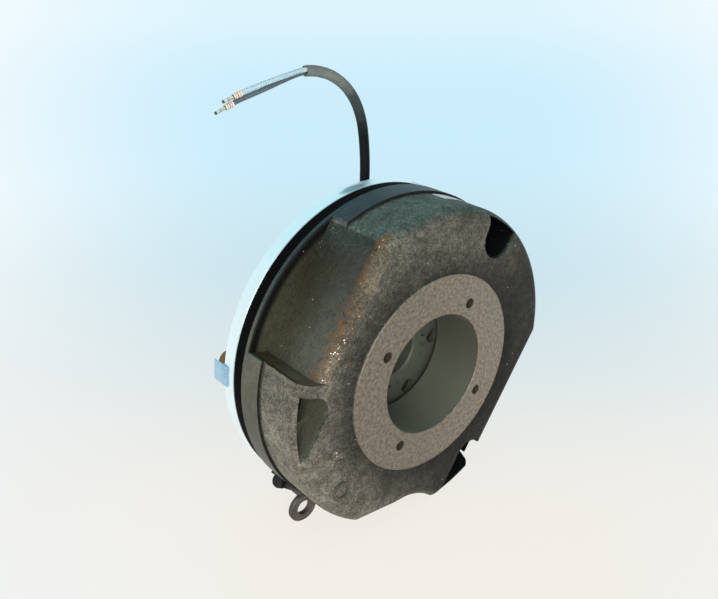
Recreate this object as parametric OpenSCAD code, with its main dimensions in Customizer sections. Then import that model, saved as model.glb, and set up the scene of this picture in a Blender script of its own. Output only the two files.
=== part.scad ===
// Spring-applied brake unit in a round cast-iron housing.
// The machined pad at the front bolts to a machine face. The rotor on the shaft is
// clamped against the housing by springs, and a coil in the magnet body at the back
// draws the armature plate off it. All depths are measured back from the pad face.

/* [Mounting pad] */
// Outer diameter of the machined pad
pad_d = 130; // [116:1:160]
// Height of the pad above the cast face
pad_rise = 1.5; // [0.5:0.1:3]
// Diameter of the bore through the pad
pad_bore_d = 78; // [65:1:84]
// Circle of the four tapped holes
pad_pcd = 97; // [94:1:108]
// Core diameter of the tapped holes
pad_hole_d = 6.8; // [5:0.1:8.5]
// Depth of the tapped holes
pad_hole_depth = 18; // [10:1:24]

/* [Housing] */
// Radius of the turned rim, the widest part of the housing
rim_r = 106; // [104:0.5:128]
// How far the rough cast body lies inside the rim
body_step = 1.5; // [0.5:0.1:3]
// Length of the turned rim
rim_len = 17.3; // [14:0.1:22]
// Rounding of the body's front edge
edge_r = 9; // [4:0.5:11]
// How far the two flats cut into the body at the cast face
flat_cut = 16.5; // [10:0.5:18]
// How far the right flat, which leans outward, cuts in at its rear end
flat_rear_cut = 8.5; // [5:0.5:10]
// Angle round the unit of the wall at the left flat's lower end
flat_wall_angle = 162; // [158:0.5:163]
// Thickness of the full-round flange behind the flats
flange_t = 3.3; // [2:0.1:6]
// How far the scoop under the body cuts in
scoop_cut = 11.5; // [6:0.5:14]
// Radius of the hollow at the scoop's end
scoop_end_r = 46; // [30:1:60]
// Width of the slot for the release lever
lever_slot_w = 18; // [17:0.5:24]

/* [Screw pockets] */
// Depth of the pocket floors
pocket_depth = 28; // [24:1:31]
// Depth of the open tails beside the two lower pockets
tail_depth = 16; // [8:1:22]
// Wall left outside the pockets
pocket_wall = 2.5; // [2:0.5:4]
// How far a pocket's sides spread on their way out
pocket_flare = 2.5; // [0:0.5:5]
// Wall between the cavity and the three screws
screw_wall = 5.5; // [4:0.5:7]
// Thread diameter of the housing screws
screw_d = 8; // [6:0.1:10]
// Clearance of the screws in their holes
screw_gap = 0.5; // [0.2:0.1:0.8]

/* [Rotor] */
// Depth of the housing's friction face
friction_depth = 36; // [34:0.5:44]
// Thickness of each friction lining
lining_t = 4; // [3:0.1:5]
// Thickness of the rotor's steel carrier
carrier_t = 4; // [3:0.1:5]
// Outer radius of the rotor
rotor_r = 80; // [76:0.5:81]
// Room round the rotor in the housing
cavity_gap = 3; // [2.5:0.1:4]
// Ledge of the friction face inside the linings
lining_ledge = 9; // [4:0.5:14]
// Clearance between the released rotor and the faces beside it
rotor_gap = 0.1; // [0.05:0.05:0.3]
// Radius of the shaft bore in the driver hub
shaft_r = 17.5; // [14:0.5:21]
// Wall of the driver hub between its bore and the roots of its teeth
hub_wall = 7.5; // [6:0.5:9]
// Width of the keyway
key_w = 10; // [6:1:12]
// Depth of the keyway above the bore
key_rise = 3.3; // [2:0.1:3.8]
// Length of the driver hub
hub_len = 30; // [22:1:34]
// Number of teeth on the driver hub
hub_teeth = 24; // [16:2:30]
// Height of the hub's teeth
hub_tooth_h = 3; // [2:0.5:3.5]
// Clearance between the hub's teeth and the rotor
spline_gap = 0.2; // [0.1:0.05:0.3]

/* [Armature and springs] */
// Thickness of the armature plate
armature_t = 12.4; // [9:0.1:15]
// How far the armature plate reaches past the rotor
armature_over = 1; // [0.5:0.1:2]
// Air gap between the armature plate and the magnet
air_gap = 0.6; // [0.55:0.05:1]
// Number of brake springs
spring_n = 6; // [4:1:8]
// Outer radius of a brake spring
spring_r = 3.8; // [3:0.1:4.5]
// Clearance of a brake spring in its hole
spring_room = 0.6; // [0.3:0.1:1]
// Wire diameter of a brake spring
spring_wire_d = 1.4; // [0.8:0.1:1.8]
// Turns of a brake spring
spring_turns = 5; // [4:1:8]
// Depth of the spring holes in the magnet body
spring_hole_len = 30; // [24:1:36]
// Radius of the armature's guide pins
pin_r = 4; // [3:0.5:5]
// Distance of the guide pins from the armature plate's edge
pin_in = 7.2; // [6:0.1:7.5]
// Running clearance of the armature plate on its pins
pin_gap = 0.05; // [0.02:0.01:0.08]

/* [Magnet body] */
// How far the bright turned ring lies inside the housing's rim
ring_step = 1; // [0:0.1:3]
// Thickness of the bright turned ring
ring_t = 10.9; // [10.2:0.1:14]
// Length of the pot behind the ring
pot_len = 34; // [32:0.5:42]
// Room between the hub's teeth and the hole through the magnet body
pole_gap = 3; // [1:0.5:5]
// Wall of the inner pole, which holds the springs
pole_wall = 15; // [12:0.5:17]
// Wall between the coil groove and the guide pins
pin_wall = 7.8; // [6:0.1:9]
// Wall of the pot outside the coil groove
pot_wall = 10; // [6:0.5:11]
// Depth of the coil groove
groove_len = 38; // [34:0.5:38]
// Thickness of the coil former's walls
former_t = 1.5; // [1:0.1:2.5]
// Width of the gap between the housing and the ring
seam = 8.5; // [7:0.1:10]
// Room between the spacer sleeves and the rubber seal band
seal_gap = 0.8; // [0.2:0.1:1.5]

/* [Hardware] */
// Radius of a socket screw's head
head_r = 6.5; // [5:0.5:7.5]
// Height of a socket screw's head
head_h = 8; // [6:0.5:10]
// Width across the flats of the nuts
nut_af = 13; // [12:1:16]
// Height of the nuts
nut_h = 13.5; // [6:0.1:15]
// Thickness of the tab washers
washer_t = 0.9; // [0.6:0.1:1]
// Wall of the spacer sleeves
sleeve_t = 1.8; // [1:0.1:2]

/* [Hand release] */
// Angle of the release lever around the unit
lever_angle = -126; // [-130:1:-122]
// Height of the lever's hinge above the flat under its bracket
hinge_rise = 8; // [7.6:0.1:9.6]
// Distance of the hinge behind the ring's front face
hinge_back = 4.7; // [4.4:0.1:6]
// Radius of the hinge pin
hinge_pin_r = 3; // [2.5:0.1:3.2]
// Running clearance of the hinge pin
hinge_gap = 0.05; // [0.02:0.01:0.08]
// Gap between the lever's eye and the housing's rim
eye_gap = 1.5; // [1:0.5:4]
// Outer radius of the lever's eye
eye_r = 10.5; // [8.5:0.5:13]
// Radius of the hole in the lever's eye
eye_hole_r = 5.2; // [3:0.1:5.5]
// Thickness of the lever's eye
eye_len = 3.5; // [2.5:0.1:5]
// How far the eye stands in front of the hinge
eye_reach = 20.3; // [17:0.1:21]
// Width of the lever between its bracket's ears
lever_w = 15.6; // [12:0.1:16.4]
// Thickness of the bracket's ears
ear_t = 3.5; // [2.5:0.1:4.5]
// Thickness of the bracket's base
base_t = 2.4; // [1.5:0.1:3]

/* [Cable] */
// Diameter of the cable's sheath
cable_d = 6.4; // [6:0.1:7.2]
// Diameter of each wire
wire_d = 2.8; // [1.8:0.1:2.8]

/* [Hidden] */

// Angle of the casting's plane of symmetry, seen from the front
sym_angle = 55;
third = 120;
quarter = 90;
flat_angles = [sym_angle + quarter, sym_angle - quarter];
screw_angles = [sym_angle, sym_angle + third, sym_angle - third];
pin_angles = [for (a = screw_angles) a - 30];

// The stack of parts from the friction face to the back
rotor_t = carrier_t + 2 * lining_t;
carrier_front = friction_depth + rotor_gap + lining_t;
rear_lining_front = carrier_front + carrier_t;
armature_front = friction_depth + rotor_t + 2 * rotor_gap;
armature_rear = armature_front + armature_t;
ring_front = armature_rear + air_gap;
ring_rear = ring_front + ring_t;
pot_rear = ring_rear + pot_len;
housing_depth = ring_front - seam;
rim_front = housing_depth - rim_len;
flange_front = housing_depth - flange_t;

// Radii from the axis outwards
hub_root_r = shaft_r + hub_wall;
hub_tip_r = hub_root_r + hub_tooth_h;
pole_hole_r = hub_tip_r + pole_gap;
pole_r = pole_hole_r + pole_wall;
spring_circle_r = pole_hole_r + pole_wall / 2;
pad_bore_r = pad_bore_d / 2;
pad_hole_r = pad_hole_d / 2;
lining_in_r = pad_bore_r + lining_ledge;
armature_r = rotor_r + armature_over;
pin_circle_r = armature_r - pin_in;
groove_r = pin_circle_r - pin_r - pin_wall;
pot_r = groove_r + pot_wall;
cavity_r = rotor_r + cavity_gap;
screw_r = screw_d / 2;
screw_hole_r = screw_r + screw_gap;
sleeve_r = screw_r + 0.2 + sleeve_t;
screw_circle_r = cavity_r + screw_hole_r + screw_wall;
seal_in_r = screw_circle_r + sleeve_r + seal_gap;
body_r = rim_r - body_step;
ring_r = rim_r - ring_step;
pocket_outer_r = body_r - pocket_wall;
flat_front = body_r - flat_cut;
flat_rear = body_r - flat_rear_cut;
scoop_dist = body_r - scoop_cut;
base_rad = ring_r - 2;
hinge_rad = base_rad + hinge_rise;
eye_rad = rim_r + eye_gap + eye_r;

// The tails' walls run parallel to the flats, this far inside their front edges
left_tail_dist = flat_front - 16.5;
right_tail_dist = flat_front - 21;
// Each pocket: angle, distance of its centre, radius
top_pocket = [screw_angles[0], screw_circle_r - 0.5, 13.5];
left_pocket = [screw_angles[1] - 1.5, screw_circle_r + 1, 11.5];
right_pocket = [screw_angles[2], screw_circle_r - 0.5, 13.5];

front_clear = 2;
far = rim_r + 6;
flat_reach = 60;
cut = 0.01;
side_n = 96;
cable_sides = 10;
wire_sides = 8;

function unit(v) = v / norm(v);
function polar(r, a) = [r * cos(a), r * sin(a)];

// A model drawn with its front towards +Z is stood up so that the front faces -Y
module stand() rotate([90, 0, 0]) children();

// A disc between two depths
module disc(r, from, to) {
    translate([0, 0, -to]) cylinder(r = r, h = to - from, $fn = side_n);
}

// A disc with a hole between two depths
module ring(r_out, r_in, from, to) {
    difference() {
        disc(r_out, from, to);
        disc(r_in, from - 1, to + 1);
    }
}

// A disc with its corners cut at 45 degrees at either end
module edged_disc(r, from, to, front_c, rear_c) {
    rotate_extrude($fn = side_n) polygon([
        [0, -from], [r - front_c, -from], [r, -from - front_c],
        [r, -to + rear_c], [r - rear_c, -to], [0, -to]
    ]);
}

// Children copied around the axis, moved out by r
module around(angles, r) {
    for (a = angles) rotate([0, 0, a]) translate([r, 0, 0]) children();
}

function spaced(n, first) = [for (i = [0 : n - 1]) first + i * 360 / n];

// Housing

// Half section of the rough casting, with a rounded front edge
module cast_section() {
    difference() {
        translate([0, -rim_front]) square([body_r, rim_front - pad_rise]);
        translate([body_r - edge_r, -pad_rise - edge_r]) {
            difference() {
                square(edge_r + 1);
                circle(r = edge_r, $fn = side_n);
            }
        }
    }
}

// Section outside a flat that leans outward by slope, and the rounding of its front edge
module flat_section(start, slope, depth) {
    edge_lift = 0.06;
    lean = atan(slope);
    end = start + slope * (depth - pad_rise);
    cu = start + slope * edge_r - edge_r / cos(lean);
    cz = -pad_rise - edge_r + edge_lift;
    tangent_u = cu + edge_r * cos(lean);
    tangent_z = cz + edge_r * sin(lean);
    polygon([
        [start - slope * (front_clear + pad_rise), front_clear],
        [far, front_clear], [far, -depth], [end, -depth]
    ]);
    difference() {
        polygon([
            [cu, cz], [cu, front_clear], [far, front_clear],
            [far, tangent_z], [tangent_u, tangent_z]
        ]);
        translate([cu, cz]) circle(r = edge_r, $fn = side_n);
    }
}

module flat_cutter(angle, rear) {
    slope = (rear - flat_front) / (flange_front - pad_rise);
    rotate([0, 0, angle]) rotate([90, 0, 0]) {
        linear_extrude(height = 2 * flat_reach, center = true) {
            flat_section(flat_front, slope, flange_front);
        }
    }
}

// The left flat runs straight back, and ends at a wall that points to the axis
module left_flat_cutter() {
    intersection() {
        flat_cutter(flat_angles[0], flat_front);
        rotate([0, 0, flat_wall_angle]) translate([0, -2 * far, -far]) {
            cube([2 * far, 2 * far, 2 * far]);
        }
    }
}

// The scoop is flat on its left, and curves out to full size on its right
module scoop_cutter() {
    scoop_angle = -98;
    turn_at = 6;
    inset = 0.4;
    rotate([0, 0, scoop_angle]) {
        translate([0, -turn_at, 0]) rotate([90, 0, 0]) {
            linear_extrude(height = flat_reach) flat_section(scoop_dist, 0, rim_front);
        }
        translate([scoop_dist + scoop_end_r - inset, -turn_at, 0]) {
            rotate_extrude($fn = side_n) polygon(concat(
                [[0, front_clear], [0, -rim_front], [scoop_end_r, -rim_front]],
                [for (a = [quarter * 2, 150, 120, 97])
                    [scoop_end_r + edge_r, -pad_rise - edge_r] + polar(edge_r, a)],
                [[scoop_end_r + 2 * edge_r, front_clear]]
            ));
        }
    }
}

// A round-ended notch whose sides spread towards the outside
module pocket_outline(pocket) {
    intersection() {
        circle(r = pocket_outer_r, $fn = side_n);
        rotate(pocket[0]) union() {
            translate([pocket[1], 0]) circle(r = pocket[2], $fn = side_n);
            polygon([
                [pocket[1], -pocket[2]],
                [pocket_outer_r + 1, -pocket[2] - pocket_flare],
                [pocket_outer_r + 1, pocket[2] + pocket_flare],
                [pocket[1], pocket[2]]
            ]);
        }
    }
}

// The tail beside a pocket: beyond a wall parallel to the flat, on one side of the pocket
module tail_outline(flat_angle, wall, pocket, side) {
    start = pocket[1] * sin(pocket[0] - flat_angle);
    intersection() {
        circle(r = pocket_outer_r, $fn = side_n);
        rotate(flat_angle) polygon([
            [wall, start], [far, start],
            [far, start + side * far], [wall, start + side * far]
        ]);
    }
}

module cut_down(depth) {
    translate([0, 0, -depth]) linear_extrude(height = depth + front_clear) children();
}

module pocket_cutters() {
    pocket_lip = 1.7;
    cut_down(pocket_depth) pocket_outline(top_pocket);
    cut_down(pocket_depth) pocket_outline(left_pocket);
    cut_down(pocket_depth) intersection() {
        pocket_outline(right_pocket);
        rotate(flat_angles[1]) translate([-far, -far]) {
            square([far + flat_front + pocket_lip, 2 * far]);
        }
    }
    cut_down(tail_depth) tail_outline(flat_angles[0], left_tail_dist, left_pocket, 1);
    cut_down(tail_depth) tail_outline(flat_angles[1], right_tail_dist, right_pocket, -1);
}

// Plain cast marks on the front face: a ring and a small pad
module cast_marks() {
    mark_h = 0.7;
    ring_at = [-73.9, -50.6];
    mark_r = 6.4;
    mark_wall = 2.1;
    pad_at = [-76.9, -24.2];
    pad_size = [8, 11];
    pad_turn = 35;
    translate([0, 0, -pad_rise - 1]) {
        linear_extrude(height = mark_h + 1) {
            translate(ring_at) difference() {
                circle(r = mark_r, $fn = side_n);
                circle(r = mark_r - mark_wall, $fn = side_n);
            }
            translate(pad_at) rotate(pad_turn) square(pad_size, center = true);
        }
    }
}

module brake_housing() {
    groove_w = 1.2;
    groove_deep = 1;
    slot_front = eye_front - 1.6;
    slot_floor = ring_r - 5;
    cavity_c = 1.5;
    color([0.28, 0.27, 0.25]) stand() difference() {
        union() {
            difference() {
                union() {
                    rotate_extrude($fn = side_n) cast_section();
                    edged_disc(rim_r, rim_front, housing_depth, 0.6, 0.6);
                }
                left_flat_cutter();
                flat_cutter(flat_angles[1], flat_rear);
                scoop_cutter();
                ring(far, body_r - groove_deep, rim_front - groove_w / 2,
                    rim_front + groove_w / 2);
            }
            edged_disc(pad_d / 2, 0, pad_rise + 1, 0.5, 0);
            cast_marks();
        }
        pocket_cutters();
        disc(pad_bore_r, -1, friction_depth + 1);
        translate([0, 0, -1]) {
            cylinder(r1 = pad_bore_r, r2 = pad_bore_r + 2, h = 2, $fn = side_n);
        }
        disc(cavity_r, friction_depth, housing_depth + 1);
        translate([0, 0, -housing_depth - cut]) {
            cylinder(r1 = cavity_r + cavity_c, r2 = cavity_r, h = cavity_c, $fn = side_n);
        }
        around(spaced(4, sym_angle), pad_pcd / 2) disc(pad_hole_r, -1, pad_hole_depth);
        around(screw_angles, screw_circle_r) disc(screw_hole_r, 0, housing_depth + 1);
        rotate([0, 0, lever_angle]) {
            translate([slot_floor, -lever_slot_w / 2, -housing_depth - 1]) {
                cube([far, lever_slot_w, housing_depth + 1 - slot_front]);
            }
        }
    }
}

// The band closes the gap between the housing and the ring, but for the lever's window
module seal_band() {
    color([0.06, 0.06, 0.06]) stand() difference() {
        ring(ring_r, seal_in_r, housing_depth, ring_front);
        rotate([0, 0, lever_angle]) {
            translate([0, -lever_slot_w / 2, -ring_front - 1]) {
                cube([far, lever_slot_w, seam + 2]);
            }
        }
    }
}

// Magnet body and coil

spring_floor = ring_front + spring_hole_len;
spring_hole_r = spring_r + spring_room;
pin_hole_len = 8.7;
boss_rise = 3;
cable_boss_top = pot_r + boss_rise;
cable_hole_r = cable_d / 2 + 0.5;
cable_x = 19.2;
cable_depth = ring_rear + 15.9;
pot_spigot_r = groove_r + 5;

// A cylinder along the cable's way out, between two heights
module upright(r, from, to) {
    translate([cable_x, from, -cable_depth]) rotate([-90, 0, 0]) {
        cylinder(r = r, h = to - from, $fn = side_n);
    }
}

// The bright ring fits round a spigot on the pot, and its front face is the outer pole
module magnet_ring() {
    ring_c = 0.8;
    core_r = 1.25;
    core_len = 7;
    color([0.82, 0.86, 0.88]) stand() difference() {
        edged_disc(ring_r, ring_front, ring_rear, ring_c, ring_c);
        disc(pot_spigot_r, ring_front - 1, ring_rear + 1);
        around(pin_angles, pin_circle_r) {
            disc(pin_r, ring_front - 1, ring_front + pin_hole_len);
        }
        around(screw_angles, screw_circle_r) {
            disc(screw_hole_r, ring_front - 1, ring_rear + 1);
        }
        rotate([0, 0, lever_angle]) {
            translate([base_rad, -far / 2, -ring_rear - 1]) cube([far, far, ring_t + 2]);
            for (s = [-1, 1]) {
                translate([base_rad - core_len, s * bracket_screw_at, -bracket_mid]) {
                    rotate([0, quarter, 0]) cylinder(r = core_r, h = far, $fn = 32);
                }
            }
        }
    }
}

// The pot holds the coil in its groove, and the springs in its inner pole
module magnet_pot() {
    boss_r = 9;
    pot_c = 3;
    color([0.5, 0.52, 0.53]) stand() difference() {
        union() {
            disc(pot_spigot_r, ring_front, ring_rear + 1);
            edged_disc(pot_r, ring_rear, pot_rear, 0, pot_c);
            upright(boss_r, groove_r + 1, cable_boss_top);
        }
        ring(groove_r, pole_r, ring_front - 1, ring_front + groove_len);
        disc(pole_hole_r, ring_front - 1, pot_rear + 1);
        around(spaced(spring_n, sym_angle), spring_circle_r) {
            disc(spring_hole_r, ring_front - 1, spring_floor);
        }
        upright(cable_hole_r, pole_r + 4, cable_boss_top + 1);
    }
}

former_front = ring_front + 1.4;
former_rear = ring_front + groove_len;

// A spool with its open side outward, seated on the groove's floor
module coil_former() {
    color([0.85, 0.84, 0.78]) stand() difference() {
        ring(groove_r - 0.2, pole_r + 0.2, former_front, former_rear);
        ring(groove_r + 1, pole_r + 0.2 + former_t, former_front + former_t,
            former_rear - former_t);
    }
}

module coil_winding() {
    color([0.62, 0.3, 0.14]) stand() {
        ring(groove_r - 0.8, pole_r + 0.2 + former_t, former_front + former_t,
            former_rear - former_t);
    }
}

// Armature, springs and rotor

tab_t = 3;
tab_face = armature_rear - 0.3 - tab_t;

module armature_plate() {
    tab_out = ring_r + 1.4;
    tab_w = 11;
    tab_root = armature_r - 4;
    bore_r = pole_hole_r + 2;
    color([0.45, 0.46, 0.48]) stand() difference() {
        union() {
            edged_disc(armature_r, armature_front, armature_rear, 0.5, 0.5);
            rotate([0, 0, lever_angle]) {
                translate([tab_root, -tab_w / 2, -tab_face - tab_t]) {
                    cube([tab_out - tab_root, tab_w, tab_t]);
                }
            }
        }
        disc(bore_r, armature_front - 1, armature_rear + 1);
        around(pin_angles, pin_circle_r) {
            disc(pin_r + pin_gap, armature_front - 1, armature_rear + 1);
        }
    }
}

module guide_pins() {
    pin_front = armature_front + 1.5;
    color([0.7, 0.7, 0.72]) stand() around(pin_angles, pin_circle_r) {
        edged_disc(pin_r, pin_front, ring_front + pin_hole_len, 0.6, 0.4);
    }
}

// Rings of points round a path, and the skin over them
function path_dir(p, i) = unit(p[min(i + 1, len(p) - 1)] - p[max(i - 1, 0)]);
function frame_side(p, i) = unit(cross(path_dir(p, i), [0, 0, 1]));
function frame_up(p, i) = cross(frame_side(p, i), path_dir(p, i));
function tube_point(p, i, r, a) =
    p[i] + r * (cos(a) * frame_up(p, i) + sin(a) * frame_side(p, i));

module swept_tube(path, r, sides) {
    n = len(path);
    points = [for (i = [0 : n - 1]) for (k = [0 : sides - 1])
        tube_point(path, i, r, 360 * k / sides)];
    walls = [for (i = [0 : n - 2]) for (k = [0 : sides - 1])
        [i * sides + k, i * sides + (k + 1) % sides,
         (i + 1) * sides + (k + 1) % sides, (i + 1) * sides + k]];
    start_cap = [for (k = [sides - 1 : -1 : 0]) k];
    end_cap = [for (k = [0 : sides - 1]) (n - 1) * sides + k];
    polyhedron(points, concat([start_cap], walls, [end_cap]), convexity = 6);
}

// A helical spring of flat-ended wire, as rings of points round its axis
module spring(r, wire_r, len, turns) {
    steps = 9;
    sides = 6;
    n = turns * steps;
    rise = len - 2 * wire_r;
    mid = r - wire_r;
    points = [for (i = [0 : n]) for (k = [0 : sides - 1])
        let (a = i * 360 / steps, b = 360 * k / sides)
        [(mid + wire_r * cos(b)) * cos(a), (mid + wire_r * cos(b)) * sin(a),
         wire_r + rise * i / n + wire_r * sin(b)]];
    walls = [for (i = [0 : n - 1]) for (k = [0 : sides - 1])
        let (p = i * sides + k, q = i * sides + (k + 1) % sides)
        each [[p, p + sides, q + sides], [p, q + sides, q]]];
    start_cap = [for (k = [1 : sides - 2]) [0, k, k + 1]];
    end_cap = [for (k = [1 : sides - 2]) [n * sides, n * sides + k + 1, n * sides + k]];
    polyhedron(points, concat(start_cap, walls, end_cap), convexity = 8);
}

module brake_springs() {
    color([0.6, 0.62, 0.65]) stand() {
        around(spaced(spring_n, sym_angle), spring_circle_r) {
            translate([0, 0, -spring_floor]) {
                spring(spring_r, spring_wire_d / 2, spring_floor - armature_rear,
                    spring_turns);
            }
        }
    }
}

// Outline of the toothed hub, or of the hole for it when it is grown by gap
module toothed_outline(gap) {
    half_root = 0.32 * 360 / hub_teeth;
    half_tip = 0.16 * 360 / hub_teeth;
    wider = atan(gap / hub_root_r);
    inner = hub_root_r + gap;
    outer = hub_tip_r + gap;
    polygon([for (i = [0 : hub_teeth - 1])
        let (a = i * 360 / hub_teeth)
        each [polar(inner, a - half_root - wider), polar(outer, a - half_tip - wider),
            polar(outer, a + half_tip + wider), polar(inner, a + half_root + wider)]
    ]);
}

hub_front = friction_depth + 1;

module driver_hub() {
    bore_c = 1;
    color([0.5, 0.5, 0.52]) stand() difference() {
        translate([0, 0, -hub_front - hub_len]) {
            linear_extrude(height = hub_len) toothed_outline(0);
        }
        disc(shaft_r, hub_front - 1, hub_front + hub_len + 1);
        translate([0, 0, -hub_front - bore_c]) {
            cylinder(r1 = shaft_r, r2 = shaft_r + bore_c + cut, h = bore_c + cut, $fn = side_n);
        }
        translate([-key_w / 2, 0, -hub_front - hub_len - 1]) {
            cube([key_w, shaft_r + key_rise, hub_len + 2]);
        }
    }
}

module rotor_carrier() {
    rim_back = 2;
    window_r = 5;
    window_circle_r = (hub_tip_r + lining_in_r) / 2;
    color([0.42, 0.42, 0.42]) stand() difference() {
        disc(rotor_r - rim_back, carrier_front, carrier_front + carrier_t);
        translate([0, 0, -carrier_front - carrier_t - 1]) {
            linear_extrude(height = carrier_t + 2) toothed_outline(spline_gap);
        }
        around(spaced(6, sym_angle), window_circle_r) {
            disc(window_r, carrier_front - 1, carrier_front + carrier_t + 1);
        }
    }
}

module lining(from) {
    color([0.3, 0.24, 0.2]) stand() ring(rotor_r, lining_in_r, from, from + lining_t);
}

module front_lining() lining(friction_depth + rotor_gap);

module rear_lining() lining(rear_lining_front);

// Hardware

module hexagon(af, h) cylinder(r = af / sqrt(3), h = h, $fn = 6);

module socket_screws() {
    socket_af = 6;
    socket_deep = 4;
    end = ring_rear + washer_t + nut_h + 2;
    color([0.15, 0.15, 0.16]) stand() around(screw_angles, screw_circle_r) {
        difference() {
            union() {
                edged_disc(head_r, pocket_depth - head_h, pocket_depth, 0.6, 0);
                edged_disc(screw_r, pocket_depth - 1, end, 0, 0.8);
            }
            translate([0, 0, -pocket_depth + head_h - socket_deep]) {
                hexagon(socket_af, socket_deep + 1);
            }
        }
    }
}

module spacer_sleeves() {
    color([0.75, 0.76, 0.78]) stand() around(screw_angles, screw_circle_r) {
        ring(sleeve_r, screw_r + 0.2, housing_depth, ring_front);
    }
}

// Each washer has a strip to the ring's edge, with a tab that hooks over the edge
module tab_washers() {
    tab_w = 13;
    tab_front = ring_rear - 4.5;
    tab_rear = ring_rear + 9;
    tab_in = ring_r + 0.05;
    washer_r = nut_af / 2 + 1;
    color([0.55, 0.38, 0.2]) stand() for (a = screw_angles) rotate([0, 0, a]) {
        difference() {
            union() {
                translate([screw_circle_r, 0, 0]) disc(washer_r, ring_rear, ring_rear + washer_t);
                translate([screw_circle_r, -tab_w / 2, -ring_rear - washer_t]) {
                    cube([tab_in + washer_t - screw_circle_r, tab_w, washer_t]);
                }
                translate([tab_in, -tab_w / 2, -tab_rear]) {
                    cube([washer_t, tab_w, tab_rear - tab_front]);
                }
            }
            translate([screw_circle_r, 0, 0]) {
                disc(screw_r + 0.2, ring_rear - 1, ring_rear + washer_t + 1);
            }
        }
    }
}

// Nuts with their corners turned off at the rear
module hex_nuts() {
    corner = 1.2;
    from = ring_rear + washer_t;
    to = from + nut_h;
    color([0.6, 0.75, 0.85]) stand() around(screw_angles, screw_circle_r) {
        difference() {
            intersection() {
                translate([0, 0, -to]) hexagon(nut_af, nut_h);
                edged_disc(nut_af / sqrt(3) + 0.1, from, to, 0, corner);
            }
            disc(screw_r + 0.05, from - 1, to + 1);
        }
    }
}

// Hand release

hinge_depth = ring_front + hinge_back;
bracket_from = ring_front + 1.2;
bracket_to = ring_rear - 0.5;
bracket_mid = (bracket_from + bracket_to) / 2;
bracket_screw_at = 16.6;
bracket_half_w = bracket_screw_at + 3;
base_top = base_rad + base_t;
ear_in = lever_w / 2 + 0.2;
ear_r = 5;
eye_front = hinge_depth - eye_reach;
eye_rear = eye_front + eye_len;

// Frame of the lever: x is the distance from the axis, y runs round, z is the depth
module at_lever() stand() rotate([0, 0, lever_angle]) children();

// A cylinder round the hinge's axis, between two places along it
module across(r, from, to) {
    translate([hinge_rad, from, -hinge_depth]) rotate([-90, 0, 0]) {
        cylinder(r = r, h = to - from, $fn = 64);
    }
}

// A side profile in distance and depth, as thick as w
module side_profile(w) {
    translate([0, w / 2, 0]) rotate([90, 0, 0]) linear_extrude(height = w) children();
}

module lever_bracket() {
    screw_hole_r = 1.6;
    color([0.12, 0.12, 0.13]) at_lever() difference() {
        union() {
            translate([base_rad, -bracket_half_w, -bracket_to]) {
                cube([base_t, 2 * bracket_half_w, bracket_to - bracket_from]);
            }
            for (s = [-1, 1]) {
                translate([0, s * (ear_in + ear_t / 2), 0]) side_profile(ear_t) {
                    translate([base_rad, -hinge_depth - ear_r]) {
                        square([hinge_rad - base_rad, ear_r + hinge_depth - bracket_from]);
                    }
                    translate([hinge_rad, -hinge_depth]) circle(r = ear_r, $fn = 64);
                }
            }
        }
        translate([hinge_rad - ear_r - 1, -far / 2, -bracket_from]) {
            cube([far, far, far]);
        }
        across(hinge_pin_r + hinge_gap, -far / 2, far / 2);
        for (s = [-1, 1]) {
            translate([base_rad - 1, s * bracket_screw_at, -bracket_mid]) {
                rotate([0, 90, 0]) cylinder(r = screw_hole_r, h = 10, $fn = 32);
            }
        }
    }
}

module bracket_screws() {
    thread_r = 1.2;
    thread_len = 5;
    screw_head_r = 2.7;
    screw_head_h = 1.8;
    slot_w = 0.8;
    color([0.7, 0.7, 0.72]) at_lever() for (s = [-1, 1]) {
        translate([base_top, s * bracket_screw_at, -bracket_mid]) rotate([0, 90, 0]) {
            difference() {
                union() {
                    cylinder(r = screw_head_r, h = screw_head_h, $fn = 48);
                    translate([0, 0, -base_t - thread_len]) {
                        cylinder(r = thread_r, h = base_t + thread_len + 1, $fn = 32);
                    }
                }
                translate([-far / 2, -slot_w / 2, screw_head_h / 2]) {
                    cube([far, slot_w, screw_head_h]);
                }
            }
        }
    }
}

pin_head_h = 1.5;
clip_t = 0.8;
pin_out = ear_in + ear_t;

module hinge_pin() {
    pin_head_r = 4.4;
    tail = 1.6;
    groove_deep = 0.5;
    color([0.65, 0.65, 0.67]) at_lever() difference() {
        union() {
            across(hinge_pin_r, -pin_out, pin_out + clip_t + tail);
            across(pin_head_r, -pin_out - pin_head_h, -pin_out);
        }
        difference() {
            across(pin_head_r, pin_out, pin_out + clip_t);
            across(hinge_pin_r - groove_deep, pin_out - 1, pin_out + clip_t + 1);
        }
    }
}

// The clip snaps into the pin's groove, and is open on one side
module hinge_clip() {
    clip_r = 4.6;
    mouth = 3.4;
    color([0.3, 0.3, 0.32]) at_lever() difference() {
        across(clip_r, pin_out, pin_out + clip_t);
        across(hinge_pin_r - 0.45, pin_out - 1, pin_out + clip_t + 1);
        translate([hinge_rad, 0, -hinge_depth - mouth / 2]) cube([far, far, mouth]);
    }
}

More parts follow.
